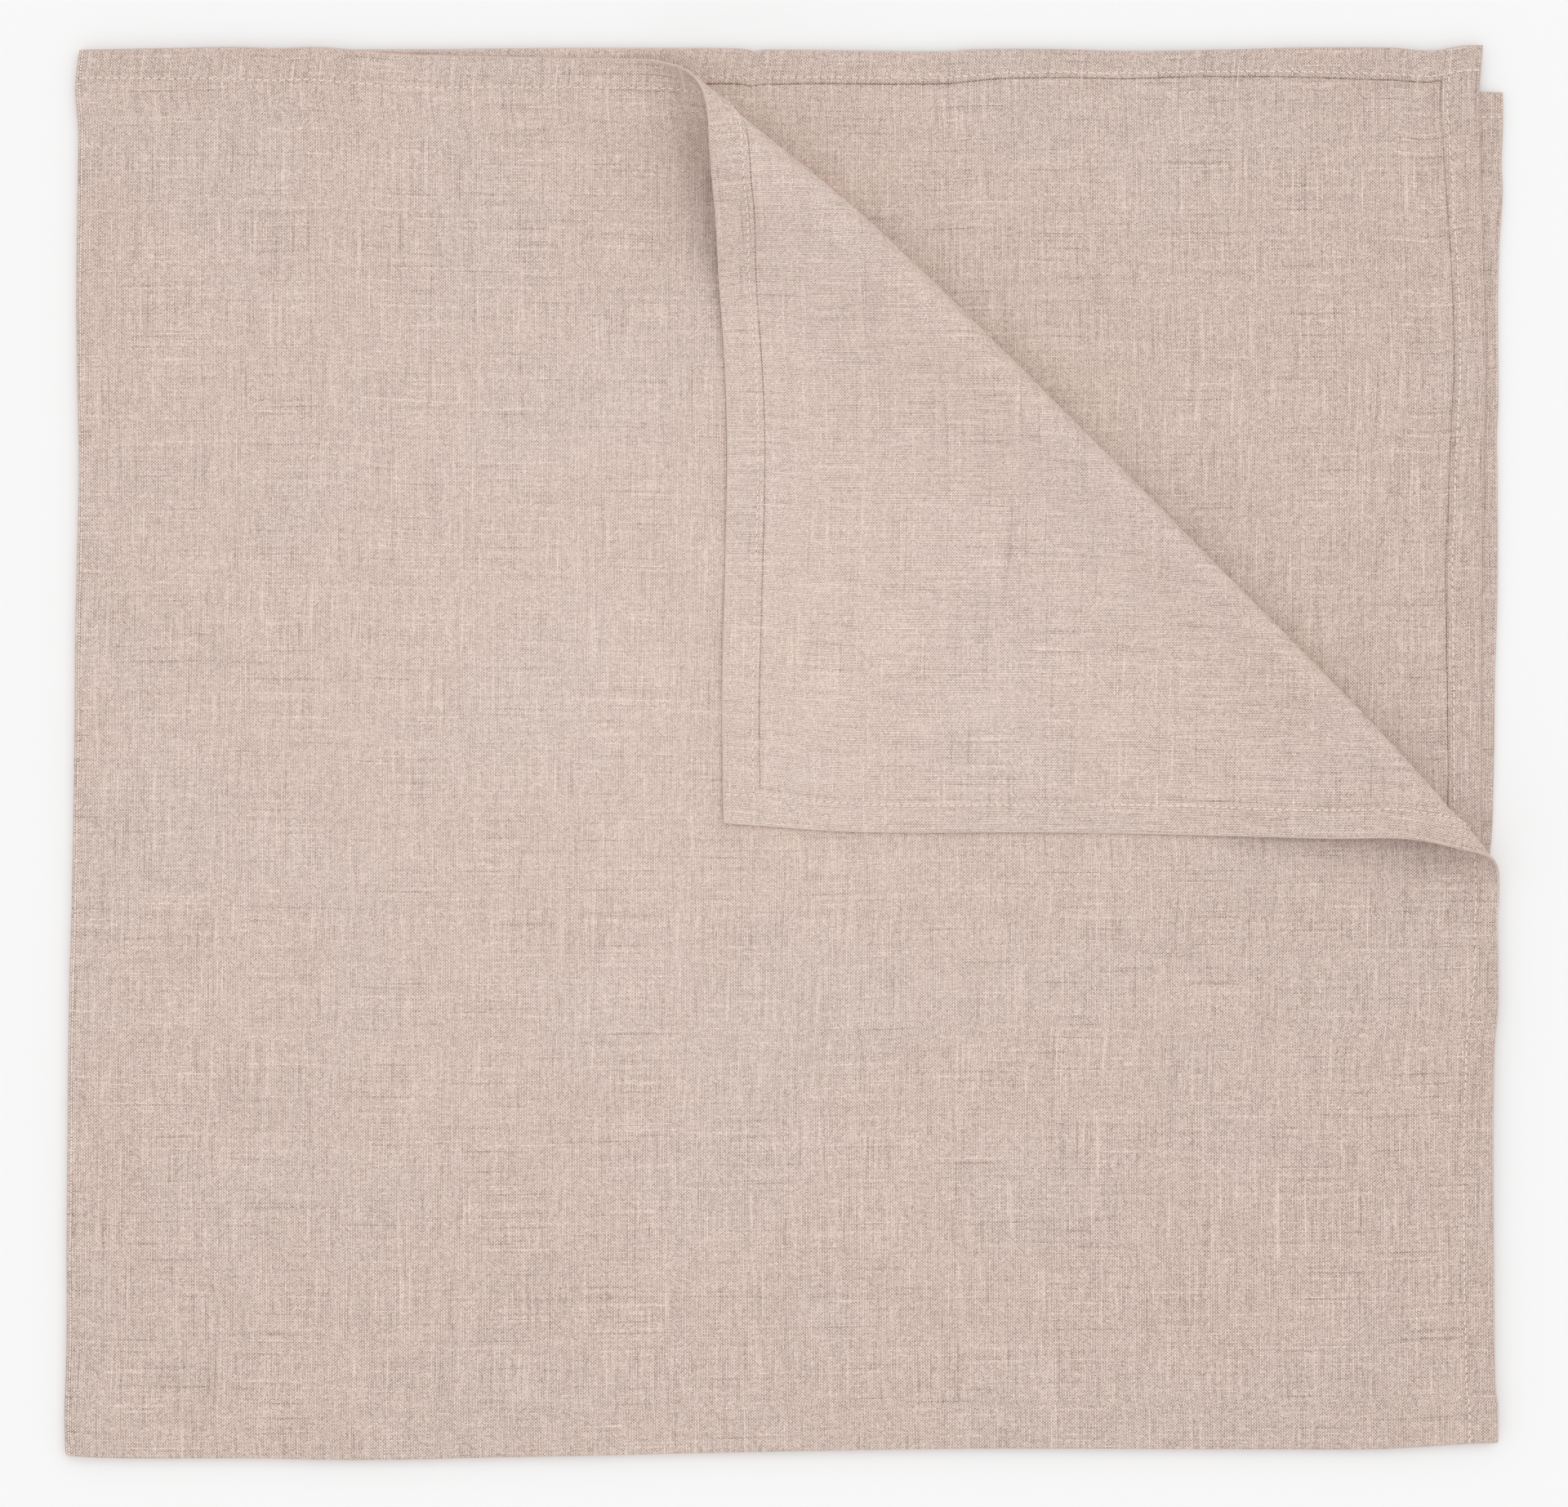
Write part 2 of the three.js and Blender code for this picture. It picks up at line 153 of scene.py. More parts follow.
# How far in each edge is sewn, along the flat cloth.
OUTER_TOP_SEWN = table(
    "at inset",
    (0, 15.9), (185, 15.9), (276, 14.7), (322, 15.8), (408, 13.7), (437, 14.6), (512, 15.8),
    (545, 17.2), (595, 17.1), (670, 15.9), (710, 14.6), (725, 14.6), (1450, 15.4),
)
UPPER_RIGHT_SEWN = table(
    "at inset",
    (0, 14.2), (25, 15.2), (40, 14.6), (97, 13.3), (147, 13.1), (197, 14.1), (247, 14.4),
    (286, 13.3), (316, 13.3), (367, 14), (432, 10.8), (474, 11.6), (494, 13.8), (536, 14.6),
    (590, 15.2), (682, 14.7), (1045, 13.5), (1081, 13.5), (1142, 14.7), (1165, 15.3),
    (1205, 14.1), (1264, 13), (1318, 12.7), (1343, 13.9), (1373, 15.6), (1398, 16.9),
    (1430, 15.9),
)
INNER_TOP_SEWN = table(
    "at inset",
    (0, 11.8), (41, 12.9), (62, 12.7), (89, 11.6), (144, 10), (179, 10.4), (248, 11.7),
    (265, 13), (335, 13.6), (403, 14.9), (725, 15), (1400, 13.4), (1450, 12.5),
)
LOWER_RIGHT_SEWN = table("at inset", (0, 15), (1430, 14.6))

# Creases pressed into the pile, seen from above: where each starts and ends, its half width, and
# how high it stands, or how deep it lies.
CREASES = table(
    "x0 y0 x1 y1 half height",
    (-187, 332, -170, 319, 5, -0.5),
    (-170, 319, -154, 332, 5, -0.5),
    (-178, 336, -163, 336, 8, 0.35),
    (-66.5, 353, -78, 341, 4.5, 1.1),
    (-59, 349.5, -50, 337, 5.5, -2.3),
    (-46, 330, -40, 300, 9, -1.2),
    (-11, 357, -18, 346, 2.5, -0.7),
    (-7, 356, -13, 346, 3, 0.4),
    (7, 353, 4, 345, 2.5, -0.4),
    (-34, 289, -22, 287, 3.5, -0.6),
    (-34, 236, -18, 236.5, 3.5, -0.6),
    (-31, 312, -22, 308, 3.5, -0.5),
    (248, -27, 249, -41, 3.5, -0.5),
    (280, -28, 281, -42, 3.5, -0.5),
    (355, 314, 366, 315, 3.5, -0.6),
)

# Where the turned corner stands clear of the layer below: its middle, its half width and how far.
LIFTED = table(
    "x y half height",
    (306, -48, 34, 10.5),
    (256, -47, 28, 4.5),
    (-40, 288, 32, 5),
)

# Single slubs and flecks in the yarn, seen from above: their middle and half their size.
DARK_FLECKS = table(
    "x y across down",
    (-330, 257.3, 0.6, 0.5),
    (331.4, 339.7, 0.7, 0.6),
    (-189, 247.7, 31, 0.5),
)
LIGHT_FLECKS = table(
    "x y across down",
    (224.6, 284.4, 18, 0.5),
    (-192.6, 328.3, 0.5, 9),
    (-162.2, 220.7, 0.6, 0.6),
)

# From here on: numbers of the finish. Light runs from 0, the gap's colour, which is painted shade
# between the yarns, to 1, the light yarn's. A range is from and to, then what they turn into where
# that isn't 0 and 1.

# Each family of yarns: its seed, slubs to the metre, and how far bright and dark ones show.
WARPS = {"seed": 3.0, "slubs": 26.0, "bright": 0.14, "dark": 0.10}
WEFTS = {"seed": 17.0, "slubs": 17.0, "bright": 0.10, "dark": 0.18}

# How far apart two yarns draw their noise, short slubs and sways to the metre, and seeds.
LANES_APART, SHORT_SLUBS, SWAYS = 400.0, 130.0, 25.0
SHORT_SEED, SWAY_SEEDS = 4.0, (1.7, 9.1)
TONE_SEED, FAMILY_SEED, GAP_SEED = 0.0, 5.0, 7.0

# From where a slub is thick or thin, and how much slubs count in tone and in thickness.
THICK, THIN = (0.15, 0.24), (-0.24, -0.15)
SLUB_TONE, LONG_TONE, SHORT_TONE = 0.18, 0.4, 0.2
YARN_HALF, YARN_SWELL, THICK_RISE = 0.37, 0.22, 0.25

# The crossings: a yarn's rise and dip, how their tones differ, and the painted shade in the gaps
# between them.
CROSSING_RISE, CROSSING_TONE = 0.5, 0.3
FAMILIES_APART, FAMILIES_SPREAD = 0.31, 0.62
GAP_PAINTED_SHADE, GAP_SHADE_DEPTH = (-0.9, 0.7, 1.0, 0.0), 0.45

# Height and tone turned into light, by the distance from the middle of a painted pool of light on
# the table: lighter near it, darker with painted shade away from it.
PAINTED_LIGHT_POOL_MIDDLE = (-85 * MM, 50 * MM, 0)
# The weave's height as painted shade: yarn tops lighter, their sides and lows darker.
HEIGHT_PAINTED_SHADE = (-0.9, 1.4, 0.49, 0.88)
TONE_SHARE = (0.1, 0.45, 0.66, 0.78)
PAINTED_POOL_FALLOFF = (0.0, 0.5, 0.06, -0.08)

# Patches and lint to the metre, and how much they and the flecks change the light.
PATCHES, PATCH_SHADE = 22.0, 0.06
LINT, LINT_SHADE = 900.0, 0.1
DARK_FLECK, LIGHT_FLECK = 0.35, 0.25

# The rim, where weave and tone fade out, the hem, and the wrong side by the turned corner.
RIM, RIM_HEIGHT, RIM_SHADE = (0.1 * MM, 0.8 * MM), 0.5, 0.09
IN_HEM, HEM_SHADE = (17.2 * MM, 18.2 * MM, 1.0, 0.0), 0.03
CORNER_SHADE = (0.34, 0.48, 0.045, 0.0)

# The painted shadow line in the crevice where the hem is turned in: its place and half width, its
# strength down the sides and by patches.
TURNED_IN, CREVICE_SHADOW_HALF = 18.35 * MM, 0.55 * MM
SIDE_STRENGTH = (0.60, 0.90, 0.1, 0.7)
PATCHY_STRENGTH = (-0.2, 0.2, 0.3, 0.65)

# A needle hole's half sizes along and across the seam, and how dark the painted shade in it is.
HOLE_ALONG, HOLE_ACROSS, HOLE_SHADE = 0.5 * MM, 0.45 * MM, 0.55

# Warm and cool patches to the metre, and the colours they multiply by.
BLUSHES, BLUSH_SEED, BLUSH = 9.0, 3.0, (-0.2, 0.2)
COOL, WARM = (0.99, 1.0, 1.008), (1.008, 1.0, 0.99)

# Puckers by the stitches: their middle and reach in from the edge, and how many there are to
# the metre along the hem, across it and by its slant.
PUCKER_MIDDLE, PUCKER_REACH = 14.5 * MM, 11 * MM
PUCKERS_ALONG, PUCKERS_ACROSS, PUCKER_SLANT, PUCKER_SEED = 150.0, 45.0, 70.0, 5.0

# Crumples to the metre, how high each part of the bump stands, and the roughness by height.
CRUMPLES = 55.0
PUCKER_RISE, CRUMPLE_RISE, WEAVE_RISE, TONE_RISE = 1.8 * MM, 0.4 * MM, 0.09 * MM, 0.2 * MM
ROUGHNESS = (-0.5, 1.5, 0.96, 0.84)

# The dark parts of the thread and of the floor, as shares of their light ones.
THREAD_DARK, BOARD_DARK = 0.86, 0.995


def along(rows, column, at):
    """A smooth curve through one column of a table: a cubic between rows, its slope at each row
    taken from the rows on both sides."""
    places, values = rows["at"], rows[column]
    last = len(places) - 1
    at = np.clip(at, places[0], places[-1])
    i = np.clip(np.searchsorted(places, at, side="right") - 1, 0, last - 1)
    before = np.maximum(np.arange(last + 1) - 1, 0)
    after = np.minimum(np.arange(last + 1) + 1, last)
    slope = (values[after] - values[before]) / (places[after] - places[before])
    span = places[i + 1] - places[i]
    f = (at - places[i]) / span
    ease = f * f * (3 - 2 * f)
    leave = f * (1 - f) ** 2 * span * slope[i]
    arrive = f * f * (1 - f) * span * slope[i + 1]
    return values[i] + (values[i + 1] - values[i]) * ease + leave - arrive


def smooth(f):
    """0 below 0, 1 above 1, and a soft step between."""
    f = np.clip(f, 0, 1)
    return f * f * (3 - 2 * f)


def metres(name, description, default):
    """A length in metres that a user can change."""
    return FloatProperty(name=name, description=description, default=default, unit="LENGTH")


class ClothSizes(PropertyGroup):
    """The sizes of the cloth and of the way it is folded."""

    width: metres("Width", "Hem to hem, across", 1.45)
    length: metres("Length", "Hem to hem, up and down", 1.43)
    thickness: metres("Thickness", "One layer of linen", 0.5 * MM)
    hem_rise: metres("Hem rise", "Two turned layers on the wrong side", 0.9 * MM)
    past_stitches: metres(
        "Past the stitches", "From the stitches to the hem's inner fold", 3.0 * MM
    )
    pair_pitch: metres("Pair pitch", "Between two layers whose hems face each other", 2.6 * MM)
    fold_radius: metres("Fold radius", "Middle of a pair of layers round the left fold", 1.8 * MM)
    turn_depth: metres("Turn depth", "Square corner to the nose of the roll", 293.3 * MM)
    turn_half_length: metres(
        "Half length of the roll", "Half the way from hem to hem along it", 300 * MM
    )
    turn_pitch: metres(
        "Turn pitch", "The turned corner's middle above the layer it lies on", 1.2 * MM
    )
    wave_height: metres("Wave height", "Softness of the lying cloth, crest to level", 0.16 * MM)


class StitchSizes(PropertyGroup):
    """The sewing of the hem."""

    pitch: metres("Pitch", "From one stitch to the next", 4.06 * MM)
    length: metres("Length", "What shows of one stitch", 3.0 * MM)
    radius: metres("Radius", "Half the thread's thickness", 0.34 * MM)
    lift: metres("Lift", "The thread's middle above the linen", 0.14 * MM)
    slant: metres("Slant", "Across the seam from a stitch's one end to its other", 0.45 * MM)


class LinenFinish(PropertyGroup):
    """The colours and the weave of the linen."""

    light: FloatVectorProperty(
        name="Light yarn", description="Top of the yarn", default=(0.968, 0.788, 0.704),
        size=3, subtype="COLOR",
    )
    # Painted shade: the gap's colour stands in for the shade between the yarns.
    dark: FloatVectorProperty(
        name="Gap", description="Between the yarns", default=(0.20, 0.13, 0.10), size=3,
        subtype="COLOR",
    )
    sewing: FloatVectorProperty(
        name="Sewing thread", description="Stitches of the hem", default=(0.96, 0.84, 0.76),
        size=3, subtype="COLOR",
    )
    warp_pitch: metres("Warp pitch", "From one upright yarn to the next", 0.8 * MM)
    weft_pitch: metres("Weft pitch", "From one level yarn to the next", 0.74 * MM)


class StageSettings(PropertyGroup):
    """Floor, light and camera."""

    floor: FloatVectorProperty(
        name="Floor", description="Pale floor", default=(0.94, 0.94, 0.94), size=3, subtype="COLOR"
    )
    sky: FloatProperty(
        name="Sky", description="Even light from all round", default=0.84, min=0
    )
    lamp: FloatProperty(
        name="Soft box", description="Strength of the wide light overhead", default=0.55, min=0
    )
    lamp_width: FloatProperty(
        name="Soft box width", description="Angle that the wide light fills",
        default=float(np.radians(70)), subtype="ANGLE",
    )
    lamp_place: FloatVectorProperty(
        name="Soft box place", description="Where it hangs, a little to the upper right",
        default=(0.6, 0.5, 2.2), size=3, subtype="TRANSLATION",
    )
    scale: metres("Picture scale", "Real width of one pixel of the photograph", 0.4162 * MM)
    width: IntProperty(name="Width", description="Pixels across", default=1920, min=1)
    height: IntProperty(name="Height", description="Pixels down", default=1845, min=1)
    centre_x: FloatProperty(
        name="Middle across", description="Pixel over the cloth's middle", default=959.8
    )
    centre_y: FloatProperty(
        name="Middle down", description="Pixel over the cloth's middle", default=921.2
    )
    lens: FloatProperty(name="Lens", description="Focal length in mm", default=135.0, min=1)


class FoldedCloth:
    """Where each point of the flat cloth lies once it is folded.

    s runs across the flat cloth from the right edge of its upper half, over the left fold, to
    the right edge of its lower half. r runs from the top edge of its outer half, over the bottom
    fold, to the top edge of its inner half. The right side of the cloth is up on the first layer.
    """

    # The turned corner's section: how long the cloth settles after the half turn, in lengths of
    # that turn, its steps, and how often the search for its angle halves.
    SETTLE = 1.5
    SAMPLES = 1200
    HALVINGS = 40

    # The hem on the even grid, the rise of the cloth past it, how far the grid takes to be even
    # again, how much a hem over another counts, and the step for slopes.
    HEM_NOMINAL = 18 * MM
    HEM_WALL = {
        "past": np.array([-2.4, -1.2, -0.5, -0.12, 0.04, 0.3, 0.9, 2.6]) * MM,
        "rise": np.array([1, 0.985, 0.9, 0.6, 0, -0.12, -0.03, 0]),
    }
    HEM_FADE = 60 * MM
    HEM_OVER_HEM = 0.5
    NUDGE = 0.05 * MM

    # The waves: their seed, number, lengths and shares.
    WAVE_SEED = 12
    WAVES = 26
    WAVE_LENGTHS = (42 * MM, 190 * MM)
    WAVE_SHARES = (0.5, 1.0)

    def __init__(self, sizes):
        self.width, self.length = sizes.width, sizes.length
        self.half_width, self.half_length = sizes.width / 2, sizes.length / 2
        self.thickness, self.hem_rise = sizes.thickness, sizes.hem_rise
        self.past_stitches = sizes.past_stitches
        self.bend_radius = sizes.pair_pitch / 2
        self.fold_radius = sizes.fold_radius
        self.turn_depth, self.turn_half = sizes.turn_depth, sizes.turn_half_length
        self.turn_pitch = sizes.turn_pitch
        self.wave_height = sizes.wave_height
        self.stack_middle = self.fold_radius + self.bend_radius + self.thickness / 2
        self.section = self.turned_section()
        self.nose = self.section["out"].max()
        self.waves = self.draw_waves()

    def turned_section(self):
        """The section across the turned corner for a crest of 1. The angle of the cloth rises
        by a soft step to half a turn and a little more, then falls back by another, longer one.
        The little more is halved until the cloth ends at the height where it began."""
        step = (1 + self.SETTLE) / self.SAMPLES
        middles = (np.arange(self.SAMPLES) + 0.5) * step

        def walk(extra):
            angle = (np.pi + extra) * smooth(middles) - extra * smooth((middles - 1) / self.SETTLE)
            out = np.concatenate([[0], np.cumsum(np.cos(angle)) * step])
            up = np.concatenate([[0], np.cumsum(np.sin(angle)) * step])
            return out, up

        low, high = 0.0, np.pi / 2
        for _ in range(self.HALVINGS):
            extra = (low + high) / 2
            if walk(extra)[1][-1] > 0:
                low = extra
            else:
                high = extra
        out, up = walk(low)
        crest = up.max()
        used = np.arange(self.SAMPLES + 1) * step
        return {"used": used / crest, "out": out / crest, "up": up / crest}

    def draw_waves(self):
        """Plane waves over the table, each with its direction, length, phase and share."""
        draw = np.random.default_rng(self.WAVE_SEED)
        count = self.WAVES
        heading = draw.uniform(0, np.pi, count)
        wave = 2 * np.pi / draw.uniform(*self.WAVE_LENGTHS, count)
        return {
            "x": wave * np.cos(heading),
            "y": wave * np.sin(heading),
            "phase": draw.uniform(0, 2 * np.pi, count),
            "share": draw.uniform(*self.WAVE_SHARES, count) / np.sqrt(count / 2),
        }

    def unevenness(self, x, y):
        """Height of the pile's top over level: the waves' sum, and for each crease its height
        times a bell over the distance to its line."""
        height = np.zeros_like(x)
        for kx, ky, phase, share in zip(*self.waves.values()):
            height += self.wave_height * share * np.sin(kx * x + ky * y + phase)
        for x0, y0, x1, y1, half, rise in zip(*CREASES.values()):
            span = (x1 - x0) ** 2 + (y1 - y0) ** 2
            f = np.clip(((x - x0) * (x1 - x0) + (y - y0) * (y1 - y0)) / span, 0, 1)
            gap = (x - x0 - f * (x1 - x0)) ** 2 + (y - y0 - f * (y1 - y0)) ** 2
            height += rise * np.exp(-gap / half**2)
        return height

    def drawn(self, u, v):
        """The even grid drawn in or out so that the nominal hem falls on the real one: a shift
        that grows from the edge to the hem's inner fold and fades past it."""

        def pull(far, sewn):
            depth = sewn + self.past_stitches - self.HEM_NOMINAL
            fading = (self.HEM_NOMINAL + self.HEM_FADE - far) / self.HEM_FADE
            return depth * np.clip(np.minimum(far / self.HEM_NOMINAL, fading), 0, 1)

        s = u + pull(u, along(UPPER_RIGHT_SEWN, "inset", v))
        s = s - pull(self.width - u, along(LOWER_RIGHT_SEWN, "inset", v))
        r = v + pull(v, along(OUTER_TOP_SEWN, "inset", u))
        r = r - pull(self.length - v, along(INNER_TOP_SEWN, "inset", u))
        return s, r

    def place(self, s, r):
        """The middle of the cloth's thickness. The bottom fold is a half circle between two
        layers, and the left fold carries both round another. The unevenness of the four sides
        is shared out across each layer, and that of the pile grows from its bottom to its top."""
        upper, outer = s < self.half_width, r < self.half_length
        from_right = np.where(upper, s, self.width - s)
        from_top = np.where(outer, r, self.length - r)

        bend = self.bend_radius
        bend_before = self.half_length - np.pi * bend / 2
        bend_turn = np.clip((r - bend_before) / bend, 0, np.pi)
        level = bend * np.cos(bend_turn)
        bending = (bend_turn > 0) & (bend_turn < np.pi)
        down = np.where(bending, bend_before + bend * np.sin(bend_turn), from_top)

        fold_before = self.half_width - np.pi * self.fold_radius / 2
        fold_turn = np.clip((s - fold_before) / self.fold_radius, 0, np.pi)
        radius = self.fold_radius + level
        folding = (fold_turn > 0) & (fold_turn < np.pi)
        over = np.where(folding, fold_before + radius * np.sin(fold_turn), from_right)

        share_right = 1 - from_right / self.half_width
        share_top = 1 - from_top / self.half_length
        up, across = self.half_length - from_top, self.half_width - from_right
        right = self.by_layer(upper, outer, up, *RIGHTS)
        top = self.by_layer(upper, outer, across, *TOPS)
        bottom = np.where(
            upper, along(BOTTOM_FOLD, "out", across), along(LOWER_BOTTOM_FOLD, "out", across)
        )
        left = along(LEFT_FOLD, "out", up)
        x = self.half_width / 2 - over + share_right * right - (1 - share_right) * left
        y = self.half_length / 2 - down + share_top * top - (1 - share_top) * bottom
        z = self.stack_middle + radius * np.cos(fold_turn)
        x, y, lift = self.turned(x, y, upper & outer)
        rise = np.clip((z - self.thickness / 2) / (2 * (self.fold_radius + bend)), 0, 1)
        return np.stack([x, y, z + lift + rise * self.unevenness(x, y)], -1)

    @staticmethod
    def by_layer(upper, outer, at, first, second, third, fourth):
        """One edge's unevenness, from the table of the layer that each point is on."""
        above = np.where(outer, along(first, "out", at), along(second, "out", at))
        below = np.where(outer, along(fourth, "out", at), along(third, "out", at))
        return np.where(upper, above, below)

    def turned(self, x, y, on_first):
        """Carries the first layer's corner round the roll: what lies past the line where the
        cloth leaves the layer below follows the section, scaled by the crest's height. A bell
        over the distance to each lifted place is added."""
        diagonal = np.sqrt(0.5)
        to_right, to_top = x - self.half_width / 2, y - self.half_length / 2
        along_roll = (to_right - to_top) * diagonal
        out = (to_right + to_top) * diagonal
        crest = along(ROLL, "crest", along_roll + self.turn_half)
        start = along(ROLL, "bow", along_roll + self.turn_half) - self.turn_depth - self.nose * crest
        used = (out - start) / crest
        end = self.section["used"][-1]
        rest = np.maximum(used - end, 0)
        reach = start + crest * (np.interp(used, self.section["used"], self.section["out"]) - rest)
        roll_length = end / (1 + self.SETTLE)
        lift = crest * np.interp(used, self.section["used"], self.section["up"])
        lift = lift + self.turn_pitch * smooth(used / roll_length)
        moved = on_first & (used > 0)
        x = np.where(moved, self.half_width / 2 + (reach + along_roll) * diagonal, x)
        y = np.where(moved, self.half_length / 2 + (reach - along_roll) * diagonal, y)
        for middle_x, middle_y, half, height in zip(*LIFTED.values()):
            gap = (x - middle_x) ** 2 + (y - middle_y) ** 2
            lift = lift + height * smooth(used) * np.exp(-gap / half**2)
        return x, y, np.where(moved, lift, 0)

    def slopes(self, u, v):
        """Directions of growing u and of growing v on the folded cloth, and out of its right
        side, by small steps both ways."""
        step = self.NUDGE
        across = self.place(*self.drawn(u + step, v)) - self.place(*self.drawn(u - step, v))
        down = self.place(*self.drawn(u, v + step)) - self.place(*self.drawn(u, v - step))
        across, down = unit(across), unit(down)
        return across, down, unit(np.cross(across, down))

    def hem(self, u, v):
        """How far the doubled edge stands up on the wrong side: level up to its inner fold,
        then a steep rounded wall. At a corner one hem lies over the other; on the lower half
        they are pressed into one."""
        past = self.HEM_NOMINAL + self.HEM_WALL["past"]
        rise = self.HEM_WALL["rise"] * self.hem_rise
        side = np.interp(np.minimum(u, self.width - u), past, rise)
        end = np.interp(np.minimum(v, self.length - v), past, rise)
        high = np.where(np.maximum(side, end) > 0, np.maximum(side, end), np.minimum(side, end))
        over = high + self.HEM_OVER_HEM * np.clip(np.minimum(side, end), 0, None)
        return np.where(u < self.half_width, over, high)

    def skin(self, u, v, right_side, lift):
        """Points raised over one side of the cloth, with the slopes there."""
        across, down, normal = self.slopes(u, v)
        middle = self.place(*self.drawn(u, v))
        if right_side:
            return middle + normal * per_point(self.thickness / 2 + lift), across, down, normal
        depth = self.thickness / 2 + self.hem(u, v) + lift
        return middle - normal * per_point(depth), across, down, -normal


def unit(vectors):
    """The same directions, one metre long."""
    return vectors / np.linalg.norm(vectors, axis=-1, keepdims=True)


def per_point(value):
    """A number or an array of numbers, ready to multiply an array of points."""
    return np.asarray(value)[..., None]


def spaced(start, end, cell):
    """Even places from start up to, but not at, end, at most a cell apart."""
    return np.linspace(start, end, int(np.ceil((end - start) / cell)), endpoint=False)


def net_lines(cloth, length, fold_turn, fold_steps, hidden_cell, shown_from):
    """Places of the grid's lines across one direction of the flat cloth, from edge to edge:
    close at both hems and in the fold, fine in the turned corner, coarse where hidden."""
    hem = np.concatenate([HEM_LINES, cloth.HEM_NOMINAL + cloth.HEM_WALL["past"]])
    fold_start = (length - fold_turn) / 2
    fold_end = (length + fold_turn) / 2
    lines = [
        hem[:-1],
        spaced(hem[-1], TURNED_REACH, TURNED_CELL),
        spaced(TURNED_REACH, fold_start, OPEN_CELL),
        np.linspace(fold_start, fold_end, fold_steps, endpoint=False),
        spaced(fold_end, shown_from, hidden_cell),
        spaced(shown_from, length - hem[-1], OPEN_CELL),
        length - hem[::-1],
    ]
    return np.concatenate(lines)


def sheet_mesh(cloth):
    """The closed sheet as points, triangles and each point's place on the flat cloth: across,
    down, and how far in from the nearest edge, which counts as negative on the wrong side. Both
    sides are the same grid, and three rings round the edge close it with a half circle."""
    lines_u = net_lines(
        cloth, cloth.width, np.pi * cloth.fold_radius, fold_steps=8, hidden_cell=110 * MM,
        shown_from=1380 * MM,
    )
    lines_v = net_lines(
        cloth, cloth.length, np.pi * cloth.bend_radius, fold_steps=6, hidden_cell=30 * MM,
        shown_from=1000 * MM,
    )
    u, v = np.meshgrid(lines_u, lines_v, indexing="ij")
    across, down, normal = cloth.slopes(u, v)
    middle = cloth.place(*cloth.drawn(u, v))
    hem = cloth.hem(u, v)
    above = middle + normal * cloth.thickness / 2
    below = middle - normal * per_point(cloth.thickness / 2 + hem)
    index = np.arange(u.size).reshape(u.shape)

    a, b = index[:-1, :-1], index[1:, :-1]
    c, d = index[1:, 1:], index[:-1, 1:]
    right_side = np.concatenate(
        [np.stack([a, b, d], -1).reshape(-1, 3), np.stack([b, c, d], -1).reshape(-1, 3)]
    )
    wrong_side = right_side[:, ::-1] + u.size

    loop = np.concatenate([index[:-1, 0], index[-1, :-1], index[:0:-1, -1], index[0, :0:-1]])
    flat = [grid.reshape(-1, 3)[loop] for grid in (across, down, normal, middle)]
    loop_u, loop_v, loop_hem = u.ravel()[loop], v.ravel()[loop], hem.ravel()[loop]
    outward = flat[0] * per_point((loop_u == lines_u[-1]) * 1.0 - (loop_u == lines_u[0]))
    outward = outward + flat[1] * per_point((loop_v == lines_v[-1]) * 1.0 - (loop_v == lines_v[0]))
    half = (cloth.thickness + loop_hem) / 2
    centre = flat[3] - flat[2] * per_point(loop_hem / 2)
    rings = [
        centre + flat[2] * per_point(half * np.cos(turn)) + outward * per_point(half * np.sin(turn))
        for turn in RIM_TURNS
    ]
    in_rings = 2 * u.size + np.arange(len(rings) * len(loop)).reshape(len(rings), -1)
    strips = [loop, *in_rings, loop + u.size]
    rim = []
    for upper, lower in zip(strips, strips[1:]):
        upper_next, lower_next = np.roll(upper, -1), np.roll(lower, -1)
        rim.append(np.stack([upper_next, upper, lower], -1))
        rim.append(np.stack([upper_next, lower, lower_next], -1))

    s, r = cloth.drawn(u, v)
    edge = np.minimum(np.minimum(u, cloth.width - u), np.minimum(v, cloth.length - v))
    flat_place = np.stack([s, r, edge], -1).reshape(-1, 3)
    rim_place = np.tile(flat_place[loop] * (1, 1, 0), (len(rings), 1))
    points = np.concatenate([above.reshape(-1, 3), below.reshape(-1, 3), *rings])
    triangles = np.concatenate([right_side, wrong_side, *rim])
    places = np.concatenate([flat_place, flat_place * (1, 1, -1), rim_place])
    return points, triangles, places


def centring(points):
    """The move that brings the folded cloth over its solid, on the surface it lies on."""
    low, high = points.min(0), points.max(0)
    middle = (np.array(CAD_LOW) + np.array(CAD_HIGH)) / 2
    move = middle - (low + high) / 2
    move[2] = CAD_LOW[2] - low[2]
    return move


def add_mesh(name, points, triangles, material, places=None):
    """A smooth mesh object at the origin from arrays of points and triangles."""
    mesh = bpy.data.meshes.new(name)
    mesh.vertices.add(len(points))
    mesh.vertices.foreach_set("co", points.astype(np.float32).ravel())
    mesh.loops.add(triangles.size)
    mesh.loops.foreach_set("vertex_index", triangles.astype(np.int32).ravel())
    mesh.polygons.add(len(triangles))
    mesh.polygons.foreach_set("loop_start", np.arange(0, triangles.size, 3, dtype=np.int32))
    mesh.polygons.foreach_set("use_smooth", np.ones(len(triangles), bool))
    if places is not None:
        attribute = mesh.attributes.new(PLACE, "FLOAT_VECTOR", "POINT")
        attribute.data.foreach_set("vector", places.astype(np.float32).ravel())
    mesh.update(calc_edges=True)
    mesh.validate()
    mesh.materials.append(material)
    piece = bpy.data.objects.new(name, mesh)
    bpy.context.scene.collection.objects.link(piece)
    return piece


